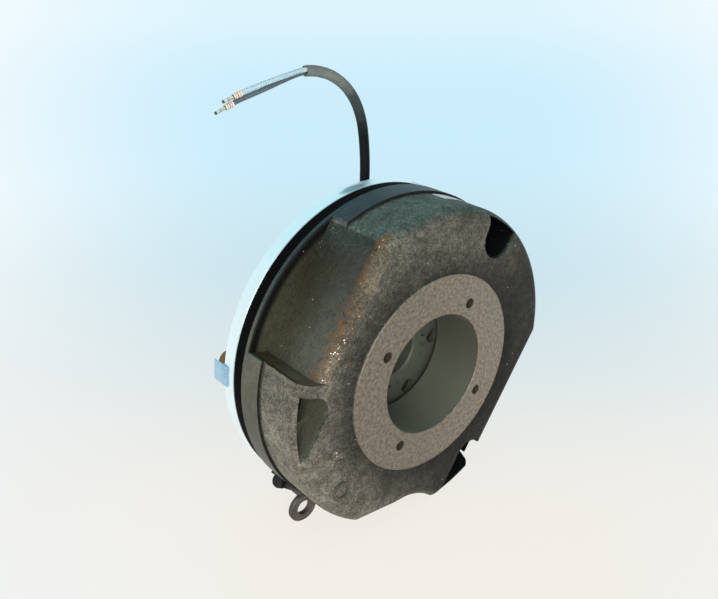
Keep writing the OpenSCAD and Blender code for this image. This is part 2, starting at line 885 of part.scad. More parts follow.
module release_lever() {
    barrel_r = 4.4;
    nose_r = 1.6;
    nose_rad = ring_r + 0.5;
    nose_gap = 0.3;
    nose_depth = tab_face - nose_gap - nose_r;
    arm_in = hinge_rad - 3.6;
    arm_out = eye_rad - eye_hole_r - 0.8;
    color([0.34, 0.31, 0.28]) at_lever() difference() {
        union() {
            across(barrel_r, -lever_w / 2, lever_w / 2);
            side_profile(lever_w) polygon([
                [arm_in, -hinge_depth], [arm_in, -nose_depth],
                [arm_in + 1, -nose_depth + nose_r + 0.8], [arm_in + 1, -eye_front - 1],
                [arm_out, -eye_front - 1], [arm_out, -nose_depth],
                [hinge_rad + barrel_r, -hinge_depth]
            ]);
            side_profile(lever_w - 4) {
                translate([nose_rad, -nose_depth]) circle(r = nose_r, $fn = 48);
                translate([nose_rad, -nose_depth - nose_r / 2]) {
                    square([arm_in - nose_rad + 2, 1.5 * nose_r]);
                }
            }
            translate([eye_rad, 0, 0]) edged_disc(eye_r, eye_front, eye_rear, 0.7, 0.7);
        }
        translate([eye_rad, 0, 0]) disc(eye_hole_r, eye_front - 1, eye_rear + 1);
        across(hinge_pin_r + hinge_gap, -lever_w, lever_w);
    }
}

// Cable

gland_len = 17;
gland_top = cable_boss_top + gland_len;

// A rubber bush with a collar on the boss and a tapered sleeve round the cable
module cable_gland() {
    collar_r = 7.5;
    collar_h = 3;
    neck_r = 5;
    tip_r = cable_d / 2 + 0.9;
    root_len = 8;
    bush_r = cable_hole_r - 0.1;
    color([0.08, 0.08, 0.08]) stand() translate([cable_x, cable_boss_top, -cable_depth]) {
        rotate([-quarter, 0, 0]) rotate_extrude($fn = side_n) polygon([
            [0, -root_len], [bush_r, -root_len], [bush_r, 0], [collar_r, 0],
            [collar_r, collar_h - 1], [collar_r - 1, collar_h], [neck_r, collar_h],
            [tip_r, gland_len], [0, gland_len]
        ]);
    }
}

// Routes from the gland's tip: to the right, up, and towards the front
sheath_route = [
    [0, 0, 0], [0, 5, 0], [0.2, 11, 0], [0.2, 17, 0], [0, 23, 0],
    [-0.4, 29, 0], [-1, 35, 0], [-1.9, 41, 0], [-3.3, 46.8, 0], [-5.4, 52.6, 0],
    [-8.2, 58.2, 0], [-11.8, 63.4, 0], [-16, 68, 0], [-21, 72, 0], [-26.6, 75.4, 0],
    [-32.6, 77.8, 0], [-38.2, 79.3, 0], [-43.2, 80, 0], [-45.2, 80, 0]
];
pale_route = [
    [-45.2, 81.05, 1], [-47.2, 81.05, 1], [-51.7, 80.8, 1.3], [-55.8, 80.2, 1.6],
    [-60.8, 79.5, 1.8], [-66.1, 78.7, 1.8], [-71.2, 77.8, 1.6], [-76.2, 76.9, 1.4],
    [-81, 75.9, 1.2], [-85.4, 74.9, 1], [-89.2, 73.9, 0.8]
];
dark_route = [
    [-45.2, 78.95, -1], [-47.2, 78.95, -1], [-51.7, 78.2, -1.4], [-55.9, 77.2, -1.7],
    [-60.9, 76, -1.8], [-66.2, 74.8, -1.8], [-71.6, 73.6, -1.7], [-76.8, 72.5, -1.6],
    [-81.8, 71.5, -1.5], [-86.8, 70.5, -1.4], [-90.8, 69.6, -1.3], [-93.8, 68.7, -1.2]
];

// Children at the gland's tip, where the routes begin
module at_gland() stand() translate([cable_x, gland_top, -cable_depth]) children();

module cord(route, d, sides) at_gland() swept_tube(route, d / 2, sides);

module cable_sheath() color([0.3, 0.32, 0.33]) cord(sheath_route, cable_d, cable_sides);

module pale_wire() color([0.7, 0.8, 0.84]) cord(pale_route, wire_d, wire_sides);

module dark_wire() color([0.35, 0.4, 0.42]) cord(dark_route, wire_d, wire_sides);

// A crimped sleeve with a collar, in line with the end of a wire
module ferrule(route) {
    collar_r = 1.75;
    collar_len = 5;
    pin_end_r = 0.9;
    pin_len = 7;
    last = route[len(route) - 1];
    dir = unit(last - route[len(route) - 2]);
    lean = atan2(dir[1], dir[0]);
    dip = asin(dir[2]);
    color([0.85, 0.8, 0.65]) at_gland() translate(last) {
        rotate([0, 0, lean]) rotate([0, quarter - dip, 0]) rotate_extrude($fn = 48) {
            polygon([
                [0, 0], [collar_r, 0], [collar_r - 0.2, collar_len], [pin_end_r, collar_len + 0.8],
                [pin_end_r, collar_len + pin_len], [0, collar_len + pin_len]
            ]);
        }
    }
}

module pale_ferrule() ferrule(pale_route);

module dark_ferrule() ferrule(dark_route);

brake_housing();
seal_band();
magnet_ring();
magnet_pot();
coil_former();
coil_winding();
armature_plate();
brake_springs();
guide_pins();
rotor_carrier();
front_lining();
rear_lining();
driver_hub();
socket_screws();
spacer_sleeves();
tab_washers();
hex_nuts();
lever_bracket();
bracket_screws();
hinge_pin();
hinge_clip();
release_lever();
cable_gland();
cable_sheath();
pale_wire();
dark_wire();
pale_ferrule();
dark_ferrule();
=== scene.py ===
import math
from types import SimpleNamespace

import bmesh
import bpy
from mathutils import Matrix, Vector


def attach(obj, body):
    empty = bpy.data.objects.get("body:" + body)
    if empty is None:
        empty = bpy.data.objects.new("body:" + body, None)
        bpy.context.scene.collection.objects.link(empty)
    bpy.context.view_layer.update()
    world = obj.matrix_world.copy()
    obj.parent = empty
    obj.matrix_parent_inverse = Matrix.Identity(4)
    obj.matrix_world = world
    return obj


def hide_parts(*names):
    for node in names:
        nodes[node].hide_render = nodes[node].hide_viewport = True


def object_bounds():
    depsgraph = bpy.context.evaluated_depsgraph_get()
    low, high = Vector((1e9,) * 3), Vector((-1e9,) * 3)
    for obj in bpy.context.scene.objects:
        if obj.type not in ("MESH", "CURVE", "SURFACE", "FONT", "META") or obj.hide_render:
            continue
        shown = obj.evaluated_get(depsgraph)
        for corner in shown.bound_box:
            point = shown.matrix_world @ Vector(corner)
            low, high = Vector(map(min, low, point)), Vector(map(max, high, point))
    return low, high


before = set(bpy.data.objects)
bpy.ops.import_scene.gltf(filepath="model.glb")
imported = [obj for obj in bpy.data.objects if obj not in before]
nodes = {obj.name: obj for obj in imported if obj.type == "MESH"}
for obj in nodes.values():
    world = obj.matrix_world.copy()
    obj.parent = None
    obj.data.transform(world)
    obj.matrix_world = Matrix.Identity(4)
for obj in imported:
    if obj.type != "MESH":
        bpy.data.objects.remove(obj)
cad_box = [list(corner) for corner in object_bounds()]
bpy.ops.object.select_all(action="DESELECT")


# Helpers

def colour(code):
    """An sRGB hex colour as the linear one that sockets take."""
    parts = [int(code[i : i + 2], 16) / 255 for i in (0, 2, 4)]
    line = [c / 12.92 if c <= 0.04045 else ((c + 0.055) / 1.055) ** 2.4 for c in parts]
    return (*line, 1.0)


def add(tree, kind, inputs=(), **settings):
    """Adds one node with its settings. Inputs, by name or by place, take a link or a value."""
    made = tree.nodes.new("ShaderNode" + kind)
    for name, value in settings.items():
        setattr(made, name, value)
    shown = [s for s in made.inputs if s.enabled]
    pairs = inputs.items() if isinstance(inputs, dict) else enumerate(inputs)
    for key, value in pairs:
        if value is None:
            continue
        socket = made.inputs[key] if isinstance(key, str) else shown[key]
        if isinstance(value, bpy.types.NodeSocket):
            tree.links.new(value, socket)
        else:
            socket.default_value = value
    return next((s for s in made.outputs if s.enabled), None)


def cells(size):
    """A noise's scale, in cells to the metre, for a grain of this size in millimetres."""
    return 1000 / size


def mask(tree, *parts):
    """A product of masks. One given as (value, start, stop) is a smooth step, from 0 to 1 by default."""
    product = None
    for part in parts:
        if isinstance(part, tuple):
            value, start, stop, low, high = (*part, 0, 1)[:5]
            part = add(tree, "MapRange", [value, start, stop, low, high], interpolation_type="SMOOTHSTEP")
        product = part if product is None else add(tree, "Math", [product, part], operation="MULTIPLY")
    return product


def scaled(tree, tone, value, span, factors, where=None):
    """A tone times a factor that changes smoothly as value crosses the span, inside a mask if given."""
    factor = add(tree, "MapRange", [value, *span, *factors], interpolation_type="SMOOTHSTEP")
    if where is not None:
        factor = add(tree, "Mix", [where, 1, factor], data_type="FLOAT")
    return add(tree, "VectorMath", [tone, factor], operation="SCALE")


def begin(name):
    """A new material's tree, without nodes, and its place in metres."""
    made = bpy.data.materials.new(name)
    made.use_nodes = True
    tree = made.node_tree
    tree.nodes.clear()
    place = add(tree, "TexCoord").node.outputs["Object"]
    return made, tree, place


def end(tree, shader):
    """Joins the last shader to the material's output."""
    add(tree, "OutputMaterial", {"Surface": shader})


def paint(node, material):
    """Gives every slot of a CAD node or a piece this material."""
    slots = node.material_slots
    if not slots:
        node.data.materials.append(material)
    for one in slots:
        one.material = material


# Camera, at the photograph's place, which the pad's two circles gave

CAMERA_AT = (-0.3016, -0.2792, 0.2590)
LOOKING = Vector((0.5817, 0.6758, -0.4528))
LENS_MM = 39.48
SENSOR_MM = 36
NEAREST = 0.01

camera = bpy.data.objects.new("camera", bpy.data.cameras.new("camera"))
bpy.context.scene.collection.objects.link(camera)
camera.location = CAMERA_AT
camera.rotation_euler = LOOKING.to_track_quat("-Z", "Y").to_euler()
camera.data.lens = LENS_MM
camera.data.sensor_width = SENSOR_MM
camera.data.clip_start = NEAREST
bpy.context.scene.camera = camera


# Cords: the routes of part.scad, from the gland's tip, in millimetres

GLAND_TIP = (19.2, 88, 92)
SHEATH_ROUTE = [
    (0, 0, 0), (0, 5, 0), (0.2, 11, 0), (0.2, 17, 0), (0, 23, 0), (-0.4, 29, 0),
    (-1, 35, 0), (-1.9, 41, 0), (-3.3, 46.8, 0), (-5.4, 52.6, 0), (-8.2, 58.2, 0),
    (-11.8, 63.4, 0), (-16, 68, 0), (-21, 72, 0), (-26.6, 75.4, 0), (-32.6, 77.8, 0),
    (-38.2, 79.3, 0), (-43.2, 80, 0), (-45.2, 80, 0),
]
PALE_ROUTE = [
    (-45.2, 81.05, 1), (-47.2, 81.05, 1), (-51.7, 80.8, 1.3), (-55.8, 80.2, 1.6),
    (-60.8, 79.5, 1.8), (-66.1, 78.7, 1.8), (-71.2, 77.8, 1.6), (-76.2, 76.9, 1.4),
    (-81, 75.9, 1.2), (-85.4, 74.9, 1), (-89.2, 73.9, 0.8),
]
DARK_ROUTE = [
    (-45.2, 78.95, -1), (-47.2, 78.95, -1), (-51.7, 78.2, -1.4), (-55.9, 77.2, -1.7),
    (-60.9, 76, -1.8), (-66.2, 74.8, -1.8), (-71.6, 73.6, -1.7), (-76.8, 72.5, -1.6),
    (-81.8, 71.5, -1.5), (-86.8, 70.5, -1.4), (-90.8, 69.6, -1.3), (-93.8, 68.7, -1.2),
]
SHEATH_R = 0.0032
SHEATH_WALL = 0.0008
WIRE_R = 0.0014
OPEN_END_DEPTH = 0.004
LID_PAST = 0.01
SPAN_STEPS = 4
SHEATH_SIDES = 36
WIRE_SIDES = 24


def in_frame(route):
    """A route's points in the row frame, in metres."""
    x, y, z = GLAND_TIP
    return [Vector((x + a, y - c, z + b)) / 1000 for a, b, c in route]


def smooth(path, steps):
    """A smooth curve through a path's points, each span cut into steps."""
    ends = [path[0] * 2 - path[1], *path, path[-1] * 2 - path[-2]]
    found = []
    for a, b, c, d in zip(ends, ends[1:], ends[2:], ends[3:]):
        for i in range(steps):
            t = i / steps
            found.append(
                0.5 * (2 * b + (c - a) * t + (2 * a - 5 * b + 4 * c - d) * t**2
                       + (3 * b - a - 3 * c + d) * t**3)
            )
    return found + [path[-1]]


def tube(name, path, radius, sides, wall=0.0):
    """A closed tube round a path, with its length in metres in the UV map. A wall leaves its far end open."""
    mesh = bpy.data.meshes.new(name)
    shape = bmesh.new()
    uv = shape.loops.layers.uv.new("length")
    normal = Vector((0, 1, 0))
    rings, lengths, run = [], [], 0

    def ring(point, size, across):
        turns = (math.tau * s / sides for s in range(sides))
        spokes = (normal * math.cos(a) + across * math.sin(a) for a in turns)
        return [shape.verts.new(point + size * spoke) for spoke in spokes]

    for i, point in enumerate(path):
        along = (path[min(i + 1, len(path) - 1)] - path[max(i - 1, 0)]).normalized()
        normal = (normal - along * normal.dot(along)).normalized()
        run += (point - path[i - 1]).length if i else 0
        lengths.append(run)
        rings.append(ring(point, radius, along.cross(normal)))
    if wall:
        for back in (0, OPEN_END_DEPTH):
            rings.append(ring(path[-1] - along * back, radius - wall, along.cross(normal)))
            lengths.append(run)
    for i in range(len(rings) - 1):
        for s in range(sides):
            n = (s + 1) % sides
            face = shape.faces.new((rings[i][s], rings[i][n], rings[i + 1][n], rings[i + 1][s]))
            face.smooth = i < len(path) - 1
            places = ((s, i), (s + 1, i), (s + 1, i + 1), (s, i + 1))
            for loop, (u, v) in zip(face.loops, places):
                loop[uv].uv = (u / sides, lengths[v])
    for lid in (shape.faces.new(rings[0][::-1]), shape.faces.new(rings[-1])):
        for loop in lid.loops:
            loop[uv].uv = (0.5, lengths[-1] + LID_PAST)
    bmesh.ops.recalc_face_normals(shape, faces=shape.faces)
    shape.to_mesh(mesh)
    shape.free()
    piece = bpy.data.objects.new(name, mesh)
    bpy.context.scene.collection.objects.link(piece)
    return piece


sheath_path = smooth(in_frame(SHEATH_ROUTE), SPAN_STEPS)
pale_path = smooth(in_frame(PALE_ROUTE), SPAN_STEPS)
dark_path = smooth(in_frame(DARK_ROUTE), SPAN_STEPS)
sheath = tube("cable_skin", sheath_path, SHEATH_R, SHEATH_SIDES, SHEATH_WALL)
pale_wire = tube("pale_insulation", pale_path, WIRE_R, WIRE_SIDES)
dark_wire = tube("dark_insulation", dark_path, WIRE_R, WIRE_SIDES)
for piece, node, slot, path, size, far, stops in (
    (sheath, "cable_sheath", "grey_pvc", sheath_path, SHEATH_R * 2, "bare", []),
    (pale_wire, "pale_wire", "pale_pvc", pale_path, WIRE_R * 2, "fitting", ["pale_ferrule"]),
    (dark_wire, "dark_wire", "dark_pvc", dark_path, WIRE_R * 2, "fitting", ["dark_ferrule"]),
):
    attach(piece, "stator")
    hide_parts(node)


# Label: the photograph shows a pale sticker on the body's top, which stays blank here. Its middle
# and sweep are angles round the shaft, in degrees, and it lies just outside the body's round side

LABEL_R = 0.10452
LABEL_MIDDLE = 67.5
LABEL_SWEEP = 17
LABEL_DEPTH = 0.0285
LABEL_WIDTH = 0.0105
LABEL_THICK = 0.00012
LABEL_CELLS = (24, 6)
SHARP_EDGE = 40
columns, rows = LABEL_CELLS
bpy.ops.mesh.primitive_grid_add(x_subdivisions=columns, y_subdivisions=rows, size=1, location=(0, 0, 0))
label = bpy.context.object
label.name = "blank_label"
for vertex in label.data.vertices:
    turn = math.radians(LABEL_MIDDLE - vertex.co.x * LABEL_SWEEP)
    depth = LABEL_DEPTH + vertex.co.y * LABEL_WIDTH
    vertex.co = (LABEL_R * math.cos(turn), depth, LABEL_R * math.sin(turn))
bpy.ops.object.mode_set(mode="EDIT")
bpy.ops.mesh.select_all(action="SELECT")
bpy.ops.mesh.normals_make_consistent(inside=False)
bpy.ops.object.mode_set(mode="OBJECT")
outward = sum((p.normal.dot(p.center) for p in label.data.polygons), 0.0)
if outward < 0:
    label.data.flip_normals()
bpy.ops.object.modifier_add(type="SOLIDIFY")
label.modifiers[-1].thickness = LABEL_THICK
label.modifiers[-1].offset = 1
bpy.ops.object.modifier_apply(modifier=label.modifiers[-1].name)
bpy.ops.object.shade_smooth_by_angle(angle=math.radians(SHARP_EDGE))
label.select_set(False)
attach(label, "stator")


# Floor, world and lamps

FLOOR_SIZE = 16
# The way the photograph looks along the floor, and the way across it
AHEAD = (0.652, 0.758, 0)
SIDEWAYS = (0.758, -0.652, 0)
# The white sides open like a fan: its point lies this far before the object, and its slopes are these
FAN_POINT = 0.62
FAN_NARROWEST = 0.05
FAN_SLOPES = (0.12, 0.6)
# Close to the object the paper is lit partly by the lamps, so that it takes a soft shadow
SHADOW_REACH = (0.2, 0.9)
LEAST_GLOW = 0.76
bpy.ops.mesh.primitive_plane_add(size=FLOOR_SIZE, location=(0, 0, cad_box[0][2]))
floor = bpy.context.object
floor.name = "studio_floor"

# Seamless paper: warm white in front, pale blue behind the object, white again at the sides
paper, tree, place = begin("studio_paper")
behind = add(tree, "VectorMath", [place, AHEAD], operation="DOT_PRODUCT")
beside = add(tree, "VectorMath", [place, SIDEWAYS], operation="DOT_PRODUCT")
tone = colour("FFFAF3")
for start, stop, code in (
    (-0.02, 0.2, "EEF5F6"), (0.1, 0.42, "D8F1FA"), (0.3, 0.9, "CBEDFC"), (1, 2.6, "DDF4FD"),
):
    tone = add(tree, "Mix", [mask(tree, (behind, start, stop)), tone, colour(code)], data_type="RGBA")
width = add(tree, "Math", [behind, FAN_POINT], operation="ADD")
width = add(tree, "Math", [width, FAN_NARROWEST], operation="MAXIMUM")
fan = add(tree, "Math", [beside], operation="ABSOLUTE")
fan = add(tree, "Math", [fan, width], operation="DIVIDE")
aside = mask(tree, (fan, *FAN_SLOPES, 0, 0.85))
tone = add(tree, "Mix", [aside, tone, colour("FCFEFE")], data_type="RGBA")
ray = add(tree, "LightPath").node
away = add(tree, "VectorMath", [place], operation="LENGTH")
share = mask(tree, (away, *SHADOW_REACH, LEAST_GLOW, 1))
seen = add(tree, "Math", [ray.outputs["Is Camera Ray"], share], operation="MULTIPLY")
mirrored = add(tree, "Math", [seen, ray.outputs["Is Glossy Ray"]], operation="MAXIMUM")
shaded = add(tree, "BsdfDiffuse", {"Color": tone})
glowing = add(tree, "Emission", {"Color": tone, "Strength": 1})
end(tree, add(tree, "MixShader", [mirrored, shaded, glowing]))
paint(floor, paper)

# The world goes on where the paper ends. It is brighter to the camera and in reflections than as light
world = bpy.data.worlds.new("studio")
bpy.context.scene.world = world
world.use_nodes = True
tree = world.node_tree
tree.nodes.clear()
aim = add(tree, "TexCoord").node.outputs["Generated"]
up = add(tree, "SeparateXYZ", [aim]).node.outputs["Z"]
ahead = add(tree, "VectorMath", [aim, AHEAD], operation="DOT_PRODUCT")
across = add(tree, "VectorMath", [aim, SIDEWAYS], operation="DOT_PRODUCT")
ahead = add(tree, "Math", [ahead, 0.01], operation="MAXIMUM")
fan = add(tree, "Math", [across], operation="ABSOLUTE")
fan = add(tree, "Math", [fan, ahead], operation="DIVIDE")
aside = mask(tree, (fan, *FAN_SLOPES))
horizon = add(tree, "Mix", [aside, colour("DDF4FD"), colour("FDFEFD")], data_type="RGBA")
height = add(tree, "MapRange", [up, 0, 0.7, 0, 1])
sky = add(tree, "Mix", [height, horizon, colour("CFF1FB")], data_type="RGBA")
ray = add(tree, "LightPath").node
shown = add(tree, "Math", [ray.outputs["Is Camera Ray"], ray.outputs["Is Glossy Ray"]], operation="MAXIMUM")
soft = add(tree, "MapRange", [height, 0, 1, 0.55, 0.22])
level = add(tree, "Mix", [shown, soft, 1], data_type="FLOAT")
back = add(tree, "Background", {"Color": sky, "Strength": level})
add(tree, "OutputWorld", {"Surface": back})

# Each lamp's place, what it points at, its size in metres, its power in watts and its tint
for name, spot, target, size, power, tint in (
    ("key_lamp", (-1.05, -1.15, 0.45), (0, 0.03, 0), 0.9, 15, "FFFAF2"),
    ("front_lamp", (-0.8, -0.78, 0.62), (0, 0.03, 0), 0.4, 3.4, "FFFFFF"),
    ("top_lamp", (-0.2, -0.7, 1.4), (0, 0.05, 0), 1.2, 3, "D6EEF8"),
    ("fill_lamp", (0.9, -1.3, 0.2), (0, 0.03, 0), 1.0, 0.8, "FFFFFF"),
):
    data = bpy.data.lights.new(name, "AREA")
    data.size = size
    data.energy = power
    data.color = colour(tint)[:3]
    lamp = bpy.data.objects.new(name, data)
    lamp.location = spot
    lamp.visible_camera = False
    lamp.rotation_euler = (Vector(target) - Vector(spot)).to_track_quat("-Z", "Y").to_euler()
    bpy.context.scene.collection.objects.link(lamp)


# Materials. Places and sizes are in metres, from the shaft's axis and the pad's face

ACROSS_SHAFT = (1, 0, 1)
THREAD_PITCH = 0.00125
THREAD_HEIGHT = 0.0002


# Grey iron. Its tones follow the casting, whose sizes are those of part.scad

PAD_R = 0.065
BORE_R = 0.039
BODY_R = 0.1045
RIM_R = 0.106
RIM_FRONT = 0.0354
FLANGE_FRONT = 0.0494
FLAT_R = 0.088
# Directions across the shaft: out to the left flat, down along it, and what the wall at its end faces
TO_FLAT = (-0.819, 0, 0.574)
DOWN_FLAT = (-0.574, 0, -0.819)
WALL_NORMAL = (0.309, 0, 0.951)
FLAT_TOP = -0.068
FLAT_FOOT = 0.031
FLAT_MIDDLE = -0.012
LIP_TURNS = (2.83, 2.86)
LOW_LEFT = (-0.82, 0, -0.57)
LOW_RIGHT = (0.86, 0, -0.5)
HIGH_RIGHT = (0.5, 0, 0.87)
RING_MARK = (-0.0739, 0, -0.0506)
RING_MARK_RADII = (0.0046, 0.0062)
PAD_MARK = (-0.0769, 0.001, -0.0242)
PAD_MARK_R = 0.0062
TOOL_PITCH = 0.0012083
GRIT_HEIGHT = 0.0005
SPECK_HEIGHT = 0.0006
PIT_DEPTH = 0.0003
TURNED_GRIT_HEIGHT = 0.0001
TOOL_MARK_HEIGHT = 0.000008
# The span that most of a noise's values lie in
MID = (0.3, 0.7)


def iron_places(tree, place):
    """Where a point of the casting lies, and which way its surface faces."""
    at = SimpleNamespace(place=place)
    at.axes = add(tree, "SeparateXYZ", [place]).node.outputs
    at.depth = at.axes["Y"]
    at.spoke = add(tree, "VectorMath", [place, ACROSS_SHAFT], operation="MULTIPLY")
    at.radius = add(tree, "VectorMath", [at.spoke], operation="LENGTH")
    at.turn = add(tree, "Math", [at.axes["Z"], at.axes["X"]], operation="ARCTAN2")
    at.along = add(tree, "VectorMath", [place, DOWN_FLAT], operation="DOT_PRODUCT")
    at.low_left = add(tree, "VectorMath", [place, LOW_LEFT], operation="DOT_PRODUCT")
    at.normal = add(tree, "NewGeometry").node.outputs["Normal"]
    at.facing = add(tree, "VectorMath", [at.normal, (0, -1, 0)], operation="DOT_PRODUCT")
    at.lean = add(tree, "VectorMath", [at.normal, TO_FLAT], operation="DOT_PRODUCT")
    at.front = mask(tree, (at.facing, 0.5, 0.95))
    lift = add(tree, "VectorMath", [at.normal, (0, 0, 1)], operation="DOT_PRODUCT")
    at.above = mask(tree, (lift, 0.25, 0.85))
    return at


def iron_turned_masks(tree, at):
    """Masks of the pad, the rim and the bore, which are turned, and of the pad's tapped holes."""
    depth, radius = at.depth, at.radius
    at.pad = mask(tree, (depth, 0.0006, 0.0003), (radius, PAD_R + 0.0003, PAD_R))
    at.rim = mask(
        tree, (radius, BODY_R + 0.0005, RIM_R - 0.0004), (depth, RIM_FRONT - 0.0002, RIM_FRONT + 0.0001)
    )
    at.rim_face = mask(
        tree, at.front, (radius, BODY_R - 0.0004, BODY_R - 0.0001),
        (depth, RIM_FRONT - 0.0009, RIM_FRONT - 0.0004),
    )
    at.bore = mask(tree, (radius, BORE_R + 0.0007, BORE_R + 0.0002), (depth, 0.0004, 0.0012))
    at.tapped = mask(
        tree, (radius, BORE_R + 0.0045, BORE_R + 0.006), (radius, PAD_R - 0.002, PAD_R - 0.004),
        (depth, 0.0003, 0.0009),
    )
    turned = add(tree, "Math", [at.pad, at.rim], operation="MAXIMUM")
    at.turned = add(tree, "Math", [turned, at.bore], operation="MAXIMUM")
    at.cast = add(tree, "Math", [1, at.turned], operation="SUBTRACT")


def iron_cast_masks(tree, at):
    """Masks of the left flat, its front edge, the wall at its end and its flange, and of the pockets."""
    depth, radius, facing, along = at.depth, at.radius, at.facing, at.along
    cut_back = mask(tree, (radius, BODY_R - 0.0001, BODY_R - 0.0004))
    at.beside_flat = mask(tree, (along, FLAT_FOOT, FLAT_FOOT - 0.002), (along, FLAT_TOP, FLAT_TOP + 0.01))
    at.flat = mask(tree, (at.lean, 0.93, 0.96), (depth, 0.0065, 0.0085), cut_back, at.beside_flat)
    at.edge = mask(tree, (at.lean, 0.2, 0.5), (facing, 0.05, 0.2), at.beside_flat, (depth, 0.016, 0.013))
    wall_lean = add(tree, "VectorMath", [at.normal, WALL_NORMAL], operation="DOT_PRODUCT")
    at.wall = mask(tree, (wall_lean, 0.97, 0.99), cut_back, (along, FLAT_FOOT - 0.011, FLAT_FOOT - 0.006))
    at.flange = mask(tree, at.front, (depth, FLANGE_FRONT - 0.0054, FLANGE_FRONT - 0.0034))
    # Pockets: what lies deeper than the front inside the body's side, but for the flats and the wall
    apart = add(tree, "VectorMath", [at.place, TO_FLAT], operation="DOT_PRODUCT")
    apart = add(tree, "Math", [apart], operation="ABSOLUTE")
    near_flat = mask(tree, (apart, FLAT_R - 0.014, FLAT_R - 0.01), at.beside_flat)
    shown = add(tree, "Math", [near_flat, at.wall], operation="MAXIMUM")
    hidden = add(tree, "Math", [1, shown], operation="SUBTRACT")
    hollow = mask(tree, (radius, BODY_R - 0.005, BODY_R - 0.007), (depth, 0.0015, 0.005), hidden)
    outward = add(tree, "VectorMath", [at.normal, at.spoke], operation="DOT_PRODUCT")
    no_wall = add(tree, "Math", [1, at.wall], operation="SUBTRACT")
    steep = mask(
        tree, (facing, 0.3, 0.1), (outward, 0.06, 0.04), (depth, 0.003, 0.006),
        (depth, RIM_FRONT + 0.0004, RIM_FRONT), no_wall,
    )
    at.pocket = add(tree, "Math", [hollow, steep], operation="MAXIMUM")


def iron_grain(tree, at):
    """Grit of 1.1 mm, specks of 2.4 mm, patches of 7 mm and clouds of 3 cm, with pits and bare glints."""
    place = at.place
    at.grit = add(tree, "TexNoise", {"Vector": place, "Scale": cells(1.1111), "Detail": 3, "Roughness": 0.65})
    at.speck = add(tree, "TexNoise", {"Vector": place, "Scale": cells(2.381), "Detail": 2, "Roughness": 0.5})
    at.patch = add(tree, "TexNoise", {"Vector": place, "Scale": cells(6.6667), "Detail": 3, "Roughness": 0.6})
    at.cloud = add(tree, "TexNoise", {"Vector": place, "Scale": cells(29.41), "Detail": 4, "Roughness": 0.55})
    grains = add(tree, "TexVoronoi", {"Vector": place, "Scale": cells(0.90909)}).node.outputs
    lot = add(tree, "SeparateColor", [grains["Color"]])
    near = mask(tree, (grains["Distance"], 0.5, 0.3))
    at.pit = mask(tree, (lot, 0.93, 0.95), near)
    # Two marks that the mould left: a ring, and a rough pad which is lighter
    ring = add(tree, "VectorMath", [place, RING_MARK], operation="DISTANCE")
    inner, outer = RING_MARK_RADII
    at.ring_mark = mask(tree, (ring, inner - 0.0007, inner), (ring, outer + 0.0006, outer))
    pad = add(tree, "VectorMath", [place, PAD_MARK], operation="DISTANCE")
    at.pad_mark = mask(tree, (pad, PAD_MARK_R, PAD_MARK_R - 0.0012), (at.speck, 0.42, 0.58))
    # Bare metal glints: many on the flat's front edge, some on the rough pad and few elsewhere
    chance = add(tree, "Mix", [at.edge, 0.006, 0.1], data_type="FLOAT")
    few = add(tree, "Math", [lot, chance], operation="LESS_THAN")
    few = mask(tree, few, near, (at.patch, 0.5, 0.62))
    some = add(tree, "Math", [lot, 0.05], operation="LESS_THAN")
    some = mask(tree, at.pad_mark, some)
    glint = add(tree, "Math", [few, some], operation="MAXIMUM")
    at.glint = mask(tree, glint, at.cast)


def iron_skin(tree, at):
    """The skin, mottled grey, with a painted bluish sky reflection on what faces up, and that sky-lit tone by
    itself.
    """
    grit = mask(tree, (at.grit, 0.32, 0.68))
    skin = add(tree, "Mix", [grit, colour("49463F"), colour("7A7569")], data_type="RGBA")
    skin = scaled(tree, skin, at.speck, MID, (0.8, 1.18))
    skin = scaled(tree, skin, at.patch, MID, (0.74, 1.24))
    skin = scaled(tree, skin, at.cloud, MID, (0.76, 1.2))
    # Painted sky reflection: what faces up takes a bluish tint
    sky_lit_skin = add(tree, "Mix", [1, skin, colour("C8EEF6")], data_type="RGBA", blend_type="MULTIPLY")
    skin = add(tree, "Mix", [at.above, skin, sky_lit_skin], data_type="RGBA")
    # The round side and the lower left are lighter with painted light, the upper right of the front is darker
    side = mask(tree, (at.radius, BODY_R - 0.0013, BODY_R - 0.0003), (at.facing, 0.3, 0.05))
    skin = scaled(tree, skin, side, (0, 1), (1, 1.3))
    skin = scaled(tree, skin, at.low_left, (0.072, 0.098), (1, 1.4))
    high_right = add(tree, "VectorMath", [at.place, HIGH_RIGHT], operation="DOT_PRODUCT")
    skin = scaled(tree, skin, high_right, (0.06, 0.1), (1, 0.78), at.front)
    # Darker towards the lower right, and painted shade in a soft band round the pad
    low_right = add(tree, "VectorMath", [at.place, LOW_RIGHT], operation="DOT_PRODUCT")
    skin = scaled(tree, skin, low_right, (-0.012, 0.064), (1, 0.25), at.front)
    skin = scaled(tree, skin, at.radius, (PAD_R + 0.0005, PAD_R + 0.025), (0.36, 1), at.front)
    skin = scaled(tree, skin, at.ring_mark, (0, 1), (1, 0.6))
    skin = scaled(tree, skin, at.pad_mark, (0, 1), (1, 1.45))
    return skin, sky_lit_skin


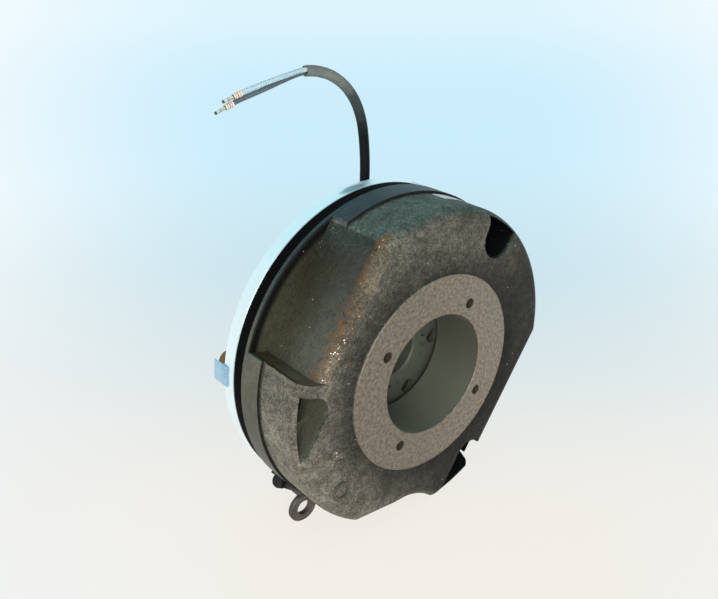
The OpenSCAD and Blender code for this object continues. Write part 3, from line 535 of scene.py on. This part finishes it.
def iron_flat(tree, at, skin, sky_lit_skin):
    """The skin with the left flat on it, and the flat's olive tone by itself."""
    back = mask(tree, (at.depth, 0.01, 0.042))
    olive = add(tree, "Mix", [back, colour("62635A"), colour("4B493A")], data_type="RGBA")
    olive = scaled(tree, olive, at.grit, MID, (0.82, 1.18))
    olive = scaled(tree, olive, at.patch, MID, (0.88, 1.12))
    olive = scaled(tree, olive, at.along, (-0.045, 0.03), (0.5, 1.1))
    # Its upper end is darkest, in a bluish shade made from the painted sky reflection, and the wall at its
    # lower end is light at the foot
    shade = add(tree, "VectorMath", [sky_lit_skin, 0.6], operation="SCALE")
    lower = mask(tree, (at.along, -0.062, -0.03))
    shade = add(tree, "Mix", [lower, shade, olive], data_type="RGBA")
    skin = add(tree, "Mix", [at.flat, skin, shade], data_type="RGBA")
    ledge = add(tree, "Mix", [1, olive, colour("F2E2C8")], data_type="RGBA", blend_type="MULTIPLY")
    ledge = scaled(tree, ledge, at.radius, (BODY_R - 0.0035, BODY_R - 0.001), (0.95, 0.35))
    skin = add(tree, "Mix", [at.wall, skin, ledge], data_type="RGBA")
    # Its rounded front edge is brownish, lighter towards both ends with a painted highlight, with rust behind
    # it
    rounding = mask(tree, at.edge, (at.depth, 0.009, 0.005))
    brown = add(tree, "Mix", [1, skin, colour("FFF4EA")], data_type="RGBA", blend_type="MULTIPLY")
    skin = add(tree, "Mix", [rounding, skin, brown], data_type="RGBA")
    middle = add(tree, "Math", [at.along, FLAT_MIDDLE], operation="SUBTRACT")
    middle = add(tree, "Math", [middle], operation="ABSOLUTE")
    skin = scaled(tree, skin, middle, (0.008, 0.03), (0.95, 1.4), rounding)
    rust = mask(
        tree, (at.depth, 0.0125, 0.0088), (at.depth, 0.0035, 0.0068, 0.15, 1), at.beside_flat,
        (at.lean, 0.2, 0.5), (at.patch, 0.36, 0.66, 0.05, 0.75),
    )
    skin = add(tree, "Mix", [rust, skin, colour("74512F")], data_type="RGBA")
    # The lip below the wall catches the light
    first, last = LIP_TURNS
    lip = mask(
        tree, (at.turn, first, first + 0.006), (at.turn, last, last - 0.02),
        (at.radius, BODY_R - 0.0007, BODY_R - 0.0002, 0, 0.35),
    )
    skin = add(tree, "Mix", [lip, skin, colour("98927F")], data_type="RGBA")
    return skin, olive


def iron_painted_shade(tree, at, skin, olive):
    """The skin with painted shade in its pockets and on the flange, and a dark line in the corner before the
    rim.
    """
    # Painted shade on the flange face: olive inside, near black towards the outside
    outer = mask(tree, (at.radius, BODY_R - 0.0065, BODY_R - 0.0025))
    flange_shade = add(tree, "Mix", [outer, olive, colour("0B0C0A")], data_type="RGBA")
    skin = add(tree, "Mix", [at.flange, skin, flange_shade], data_type="RGBA")
    # Painted shade in the pockets, near black in those on the right
    right = mask(tree, (at.axes["X"], 0, 0.03))
    pocket_shade = add(tree, "Mix", [right, colour("5C5B4D"), colour("080909")], data_type="RGBA")
    skin = add(tree, "Mix", [at.pocket, skin, pocket_shade], data_type="RGBA")
    corner = mask(
        tree, (at.depth, RIM_FRONT - 0.0016, RIM_FRONT - 0.0006),
        (at.depth, RIM_FRONT + 0.0008, RIM_FRONT + 0.0002),
        (at.radius, BODY_R - 0.0011, BODY_R - 0.0007), (at.radius, BODY_R + 0.0009, BODY_R + 0.0003), 0.8,
    )
    return add(tree, "Mix", [corner, skin, colour("1A1B1A")], data_type="RGBA")


def iron_turned(tree, at, skin):
    """The skin with the turned surfaces: a clean pad, an older rim with a painted bluish shade on its top,
    and a bore that lightens downwards with painted light on its lower wall, which faces up.
    """
    cut = mask(tree, (at.speck, *MID))
    cut = add(tree, "Mix", [cut, colour("6C6459"), colour("8B8274")], data_type="RGBA")
    cut = scaled(tree, cut, at.grit, MID, (0.82, 1.16))
    cut = scaled(tree, cut, at.axes["X"], (-0.03, 0.06), (0.95, 1.15))
    tone = add(tree, "Mix", [at.pad, skin, cut], data_type="RGBA")
    # The rim: painted bluish shade on its top, and darker at its lower left
    rim_tone_and_shade = add(tree, "Mix", [at.above, colour("69675B"), colour("37464A")], data_type="RGBA")
    rim_tone_and_shade = scaled(tree, rim_tone_and_shade, at.patch, MID, (0.84, 1.14))
    rim_tone_and_shade = scaled(tree, rim_tone_and_shade, at.grit, MID, (0.8, 1.2))
    not_front = add(tree, "Math", [1, at.front], operation="SUBTRACT")
    rim_tone_and_shade = scaled(tree, rim_tone_and_shade, at.low_left, (0.06, 0.1), (1, 0.72), not_front)
    tone = add(tree, "Mix", [at.rim, tone, rim_tone_and_shade], data_type="RGBA")
    tone = add(tree, "Mix", [at.rim_face, tone, colour("22231E")], data_type="RGBA")
    tone = add(tree, "Mix", [at.tapped, tone, colour("4A4238")], data_type="RGBA")
    deeper = mask(tree, (at.depth, 0.002, 0.03))
    inside = add(tree, "Mix", [deeper, colour("717265"), colour("6B6E62")], data_type="RGBA")
    # Painted light: the bore's lower wall, which faces up, is lighter
    inside = scaled(tree, inside, at.axes["Z"], (0.01, -0.036), (1, 1.35))
    return add(tree, "Mix", [at.bore, tone, inside], data_type="RGBA")


def iron_relief(tree, at):
    """Heights in metres: grit and pits on the skin, tool marks on turned surfaces, threads in the holes."""
    specks = add(tree, "Math", [at.speck, SPECK_HEIGHT], operation="MULTIPLY")
    grain = add(tree, "Math", [at.grit, GRIT_HEIGHT, specks], operation="MULTIPLY_ADD")
    grain = add(tree, "Math", [at.pit, -PIT_DEPTH, grain], operation="MULTIPLY_ADD")
    marks = add(tree, "Math", [at.radius, math.tau / TOOL_PITCH], operation="MULTIPLY")
    marks = add(tree, "Math", [marks], operation="SINE")
    marks = add(tree, "Math", [marks, TOOL_MARK_HEIGHT], operation="MULTIPLY")
    marks = add(tree, "Math", [at.grit, TURNED_GRIT_HEIGHT, marks], operation="MULTIPLY_ADD")
    relief = add(tree, "Mix", [at.turned, grain, marks], data_type="FLOAT")
    thread = add(tree, "Math", [at.depth, math.tau / THREAD_PITCH], operation="MULTIPLY")
    thread = add(tree, "Math", [thread], operation="SINE")
    thread = add(tree, "Math", [thread, THREAD_HEIGHT], operation="MULTIPLY")
    return add(tree, "Mix", [at.tapped, relief, thread], data_type="FLOAT")


def grey_iron():
    """Grey iron cast in sand: a dull speckled skin with painted shade in its hollows, and shinier turned
    surfaces.
    """
    made, tree, place = begin("sand_cast_grey_iron")
    at = iron_places(tree, place)
    iron_turned_masks(tree, at)
    iron_cast_masks(tree, at)
    iron_grain(tree, at)
    skin, sky_lit_skin = iron_skin(tree, at)
    skin, olive = iron_flat(tree, at, skin, sky_lit_skin)
    skin = iron_painted_shade(tree, at, skin, olive)
    tone = iron_turned(tree, at, skin)
    pit = mask(tree, at.pit, at.cast, 0.75)
    tone = add(tree, "Mix", [pit, tone, colour("1C1A17")], data_type="RGBA")
    tone = add(tree, "Mix", [at.glint, tone, colour("E6DCCB")], data_type="RGBA")
    bump = add(tree, "Bump", {"Height": iron_relief(tree, at), "Strength": 1, "Distance": 1})
    roughness = mask(tree, (at.grit, *MID, 0.55, 0.75))
    roughness = add(tree, "Mix", [at.turned, roughness, 0.5], data_type="FLOAT")
    roughness = add(tree, "Mix", [at.glint, roughness, 0.2], data_type="FLOAT")
    metallic = add(tree, "Mix", [at.turned, 0.15, 0.5], data_type="FLOAT")
    metallic = add(tree, "Math", [metallic, at.glint], operation="MAXIMUM")
    end(tree, add(tree, "BsdfPrincipled", {
        "Base Color": tone, "Metallic": metallic, "Roughness": roughness, "Normal": bump,
        "Specular IOR Level": 0.15,
    }))
    return made


# Other finishes

GROOVE_SHARE = 0.006
# The painted dark patch by the cable, where the cable darkens the ring, is over twice as long round the ring
# as it is wide
CABLE_FOOT = (-0.009, 0.0655, 0.1045)
CABLE_PATCH_SHAPE = (0.5, 1.2, 0.5)
SCREW_THREAD_START = (0.072, 0.073)
# The way the wires' ends point, and where each ferrule starts along it
FERRULE_WAY = (-0.963, 0, -0.27)
PALE_FERRULE_START = 0.0226
DARK_FERRULE_START = 0.0284
PIN_START = 0.005
CRIMP_BLUR = 0.0002
# The collar's colour, and each next one with its distance from the wire's end in millimetres
COLLAR = "EFE4D6"
CRIMPS = (
    (0.9, "D9A79C"), (1.5, COLLAR), (2.3, "6B5A50"), (2.8, "EBD9C4"), (3.6, "D9B3A4"), (4.3, "F2EBD8"),
    (5, "5D554A"), (5.6, "CFCBBB"), (8.4, "8A8675"), (8.9, "D6D3C4"), (11.2, "4E4A40"),
)


def cable_darkened(tree, place, tone, cloud):
    """A tone with a painted dark patch at the cable's foot, where the cable darkens the ring, and painted
    shade on its front edge, so that the edge doesn't catch the lamp.
    """
    # A painted dark patch where the cable darkens the ring
    spread = add(tree, "VectorMath", [place, CABLE_FOOT], operation="SUBTRACT")
    spread = add(tree, "VectorMath", [spread, CABLE_PATCH_SHAPE], operation="MULTIPLY")
    spread = add(tree, "VectorMath", [spread], operation="LENGTH")
    spread = add(tree, "Math", [cloud, 0.006, spread], operation="MULTIPLY_ADD")
    cable_patch = mask(tree, (spread, 0.0095, 0.0055, 0, 0.8))
    tone = add(tree, "Mix", [cable_patch, tone, colour("4F7C88")], data_type="RGBA")
    # Painted shade: what faces the front is darker, so that the edge doesn't catch the lamp
    normal = add(tree, "NewGeometry").node.outputs["Normal"]
    facing = add(tree, "VectorMath", [normal, (0, -1, 0)], operation="DOT_PRODUCT")
    darker = add(tree, "MapRange", [facing, 0.1, 0.5, 1, 0.35])
    return add(tree, "VectorMath", [tone, darker], operation="SCALE")


def turned_steel(name, light, deep, rough, pitch, by_cable=False):
    """Steel turned on a lathe: grooves round the axis that break the highlight."""
    made, tree, place = begin(name)
    depth = add(tree, "SeparateXYZ", [place]).node.outputs["Y"]
    spoke = add(tree, "VectorMath", [place, ACROSS_SHAFT], operation="MULTIPLY")
    radius = add(tree, "VectorMath", [spoke], operation="LENGTH")
    run = add(tree, "Math", [radius, depth], operation="ADD")
    grooves = add(tree, "Math", [run, math.tau / pitch], operation="MULTIPLY")
    grooves = add(tree, "Math", [grooves], operation="SINE")
    cloud = add(tree, "TexNoise", {"Vector": place, "Scale": cells(16.667), "Detail": 4})
    tone = add(tree, "Mix", [cloud, colour(deep), colour(light)], data_type="RGBA")
    # The ring gets the painted dark patch by the cable and painted shade on its front edge
    if by_cable:
        tone = cable_darkened(tree, place, tone, cloud)
    relief = add(tree, "Math", [grooves, pitch * GROOVE_SHARE], operation="MULTIPLY")
    bump = add(tree, "Bump", {"Height": relief, "Strength": 1, "Distance": 1})
    roughness = add(tree, "MapRange", [cloud, *MID, rough - 0.05, rough + 0.08])
    end(tree, add(tree, "BsdfPrincipled", {
        "Base Color": tone, "Metallic": 1, "Roughness": roughness, "Normal": bump,
    }))
    return made


def plain(name, light, deep, metallic, rough, grain, relief, shine=0.5):
    """A finish with a soft change of tone and fine grain, sized in millimetres, its relief in metres."""
    made, tree, place = begin(name)
    grit = add(tree, "TexNoise", {"Vector": place, "Scale": cells(grain), "Detail": 4, "Roughness": 0.6})
    cloud = add(tree, "TexNoise", {"Vector": place, "Scale": cells(11.111), "Detail": 3})
    half = add(tree, "Math", [cloud, 0.5], operation="MULTIPLY")
    mixed = add(tree, "Math", [grit, 0.5, half], operation="MULTIPLY_ADD")
    mixed = add(tree, "MapRange", [mixed, 0.35, 0.65, 0, 1])
    tone = add(tree, "Mix", [mixed, colour(deep), colour(light)], data_type="RGBA")
    height = add(tree, "Math", [grit, relief], operation="MULTIPLY")
    bump = add(tree, "Bump", {"Height": height, "Strength": 1, "Distance": 1})
    roughness = add(tree, "MapRange", [grit, *MID, rough - 0.06, rough + 0.08])
    end(tree, add(tree, "BsdfPrincipled", {
        "Base Color": tone, "Metallic": metallic, "Roughness": roughness, "Normal": bump,
        "Specular IOR Level": shine,
    }))
    return made


def cable_skin():
    """Matt grey PVC, black near the unit and lighter towards its free end."""
    made, tree, place = begin("grey_pvc_black_at_foot")
    run = add(tree, "TexCoord").node.outputs["UV"]
    run = add(tree, "SeparateXYZ", [run]).node.outputs["Y"]
    cloud = add(tree, "TexNoise", {"Vector": place, "Scale": cells(6.25), "Detail": 4})
    grit = add(tree, "TexNoise", {"Vector": place, "Scale": cells(0.71429), "Detail": 2})
    run = add(tree, "Math", [cloud, 0.012, run], operation="MULTIPLY_ADD")
    # Black as far as 4 cm from its foot, then dark grey, and lighter from 8 cm on
    tone = colour("060708")
    for start, stop, code in ((0.04, 0.066, "3E4343"), (0.064, 0.088, "767C78")):
        tone = add(tree, "Mix", [mask(tree, (run, start, stop)), tone, colour(code)], data_type="RGBA")
    mottled = add(tree, "MapRange", [cloud, *MID, 0.85, 1.15])
    tone = add(tree, "VectorMath", [tone, mottled], operation="SCALE")
    height = add(tree, "Math", [grit, 0.00004], operation="MULTIPLY")
    bump = add(tree, "Bump", {"Height": height, "Strength": 1, "Distance": 1})
    roughness = add(tree, "MapRange", [grit, *MID, 0.5, 0.62])
    end(tree, add(tree, "BsdfPrincipled", {
        "Base Color": tone, "Roughness": roughness, "Normal": bump, "Specular IOR Level": 0.15,
    }))
    return made


def crimped(name, start):
    """A cream nylon collar with pinkish crimp bands, then a tinned pin, by the distance along the wire."""
    made, tree, place = begin(name)
    run = add(tree, "VectorMath", [place, FERRULE_WAY], operation="DOT_PRODUCT")
    tone = colour(COLLAR)
    for at, code in CRIMPS:
        here = start + at / 1000
        reach = add(tree, "MapRange", [run, here, here + CRIMP_BLUR, 0, 1])
        tone = add(tree, "Mix", [reach, tone, colour(code)], data_type="RGBA")
    metallic = add(tree, "MapRange", [run, start + PIN_START, start + PIN_START + 3 * CRIMP_BLUR, 0, 0.8])
    grit = add(tree, "TexNoise", {"Vector": place, "Scale": cells(0.66667), "Detail": 2})
    height = add(tree, "Math", [grit, 0.00003], operation="MULTIPLY")
    bump = add(tree, "Bump", {"Height": height, "Strength": 1, "Distance": 1})
    end(tree, add(tree, "BsdfPrincipled", {
        "Base Color": tone, "Metallic": metallic, "Roughness": 0.42, "Normal": bump,
    }))
    return made


def screw_steel():
    """Blackened steel screws: a rolled thread on the ends behind the nuts, and a plain shank before them."""
    made, tree, place = begin("blackened_screw_steel")
    depth = add(tree, "SeparateXYZ", [place]).node.outputs["Y"]
    grit = add(tree, "TexNoise", {"Vector": place, "Scale": cells(0.90909), "Detail": 3})
    mixed = add(tree, "MapRange", [grit, 0.35, 0.65, 0, 1])
    tone = add(tree, "Mix", [mixed, colour("1B1B1D"), colour("333336")], data_type="RGBA")
    thread = add(tree, "Math", [depth, math.tau / THREAD_PITCH], operation="MULTIPLY")
    thread = add(tree, "Math", [thread], operation="SINE")
    start, stop = SCREW_THREAD_START
    height = add(tree, "MapRange", [depth, start, stop, 0, THREAD_HEIGHT])
    thread = add(tree, "Math", [thread, height], operation="MULTIPLY")
    bump = add(tree, "Bump", {"Height": thread, "Strength": 1, "Distance": 1})
    roughness = add(tree, "MapRange", [grit, *MID, 0.36, 0.5])
    end(tree, add(tree, "BsdfPrincipled", {
        "Base Color": tone, "Metallic": 0.8, "Roughness": roughness, "Normal": bump,
    }))
    return made


# The ring's plating is bright, nearly white, and mirrors the blue paper softly. It has a painted dark patch
# by the cable and painted shade on its front edge
bright = turned_steel("turned_zinc_plated_steel", "F4FEFF", "E4F6F9", 0.42, 0.0011, by_cable=True)
# Bare machined faces are a darker grey
machined = turned_steel("machined_steel", "8C8E90", "6A6D70", 0.42, 0.0009)
# Steel that runs near the linings is greenish grey under its film of oil
oily = plain("oiled_steel", "5E6156", "55584E", 0.3, 0.55, 0.9, 0.00003, 0.2)
# Rubber takes up the light and shows as a black line
rubber = plain("black_rubber", "090A0A", "030303", 0, 0.75, 1.2, 0.00005, 0.04)
# Moulded nylon is cream and half matt
spool = plain("moulded_nylon", "D8D5C6", "C4C0AF", 0, 0.5, 0.8, 0.00003)
# Enamel gives the copper a dark reddish gloss
winding = plain("enamelled_copper", "A8562A", "7E3A18", 1, 0.35, 0.8, 0.00005)
# Pressed friction material is brown and coarse
lining = plain("pressed_lining", "54453A", "30281F", 0, 0.8, 1.2, 0.0002)
# Drawn wire is a clean light grey
drawn = plain("drawn_spring_steel", "9A9EA2", "7C8084", 1, 0.35, 0.6, 0.00002)
# Blackened steel is nearly black with a dull shine
blackened = plain("blackened_steel", "2C2C2E", "1B1B1D", 0.8, 0.42, 0.8, 0.00004)
# Zinc plate has a blue cast and a soft mirror
blue_zinc = plain("blue_zinc_plate", "B9D9EC", "8FB9D2", 1, 0.3, 0.8, 0.00003)
# Old bronze has gone brown
bronze = plain("aged_bronze", "8A6A45", "5B432A", 1, 0.4, 0.8, 0.00004)
# The forged lever keeps a dark rough scale
forged = plain("forged_steel", "67615A", "3F3A35", 0.7, 0.55, 1.2, 0.00015)
# The label is clean white paper
paper_white = plain("blank_paper_label", "FFFFFF", "F4F8FA", 0, 0.4, 0.8, 0.00001)
# The wires' PVC is smooth and half matt
pale_pvc = plain("pale_blue_pvc", "BDD8E4", "B2D0DE", 0, 0.5, 3, 0, 0.3)
dark_pvc = plain("dark_grey_pvc", "667177", "5B666C", 0, 0.5, 3, 0, 0.3)

for material, names in (
    (grey_iron(), ["brake_housing"]),
    (bright, ["magnet_ring", "spacer_sleeves"]),
    (machined, ["magnet_pot", "guide_pins"]),
    (oily, ["rotor_carrier", "driver_hub", "armature_plate"]),
    (rubber, ["seal_band", "cable_gland"]),
    (spool, ["coil_former"]),
    (winding, ["coil_winding"]),
    (lining, ["front_lining", "rear_lining"]),
    (drawn, ["brake_springs", "hinge_clip"]),
    (screw_steel(), ["socket_screws"]),
    (blackened, ["lever_bracket", "hinge_pin", "bracket_screws"]),
    (blue_zinc, ["tab_washers"]),
    (bronze, ["hex_nuts"]),
    (forged, ["release_lever"]),
    (crimped("pale_wire_crimp", PALE_FERRULE_START), ["pale_ferrule"]),
    (crimped("dark_wire_crimp", DARK_FERRULE_START), ["dark_ferrule"]),
):
    for name in names:
        paint(nodes[name], material)
paint(sheath, cable_skin())
paint(label, paper_white)
paint(pale_wire, pale_pvc)
paint(dark_wire, dark_pvc)


bpy.context.scene.view_settings.view_transform = "Standard"
